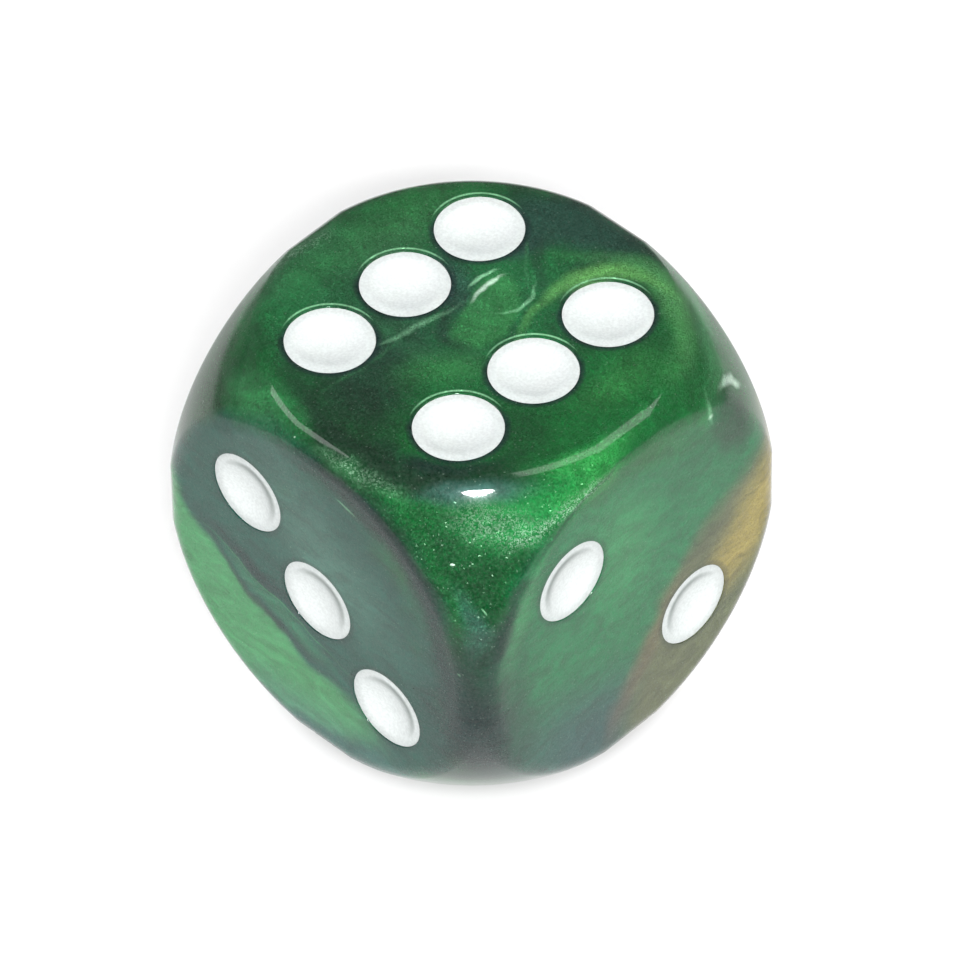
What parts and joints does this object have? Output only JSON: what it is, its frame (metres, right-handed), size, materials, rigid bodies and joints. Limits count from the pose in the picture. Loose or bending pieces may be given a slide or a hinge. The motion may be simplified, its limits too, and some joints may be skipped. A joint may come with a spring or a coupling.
{
  "type": "gaming die",
  "caption": "Round-cornered cubic gaming die in swirled green pearl resin, with dished pockets that hold white enamel pips.",
  "frame": {"origin": "centre of the die", "axes": "+Z out of the face with six pips, +X out of the face with two, -Y out of the face with three; at rest the die lies on its one, at z = -8 mm"},
  "size_m": [0.016, 0.016, 0.016],
  "materials": {
    "pearl_resin": "cast green pearl resin with darker and lighter swirls, polished to a high gloss",
    "pip_enamel": "thick white enamel, dished, with a soft gloss"
  },
  "bodies": {
    "root": {"die_body": "pearl_resin", "pip_one_1": "pip_enamel", "pip_two_1": "pip_enamel", "pip_two_2": "pip_enamel", "pip_three_1": "pip_enamel", "pip_three_2": "pip_enamel", "pip_three_3": "pip_enamel", "pip_four_1": "pip_enamel", "pip_four_2": "pip_enamel", "pip_four_3": "pip_enamel", "pip_four_4": "pip_enamel", "pip_five_1": "pip_enamel", "pip_five_2": "pip_enamel", "pip_five_3": "pip_enamel", "pip_five_4": "pip_enamel", "pip_five_5": "pip_enamel", "pip_six_1": "pip_enamel", "pip_six_2": "pip_enamel", "pip_six_3": "pip_enamel", "pip_six_4": "pip_enamel", "pip_six_5": "pip_enamel", "pip_six_6": "pip_enamel"}
  },
  "joints": []
}
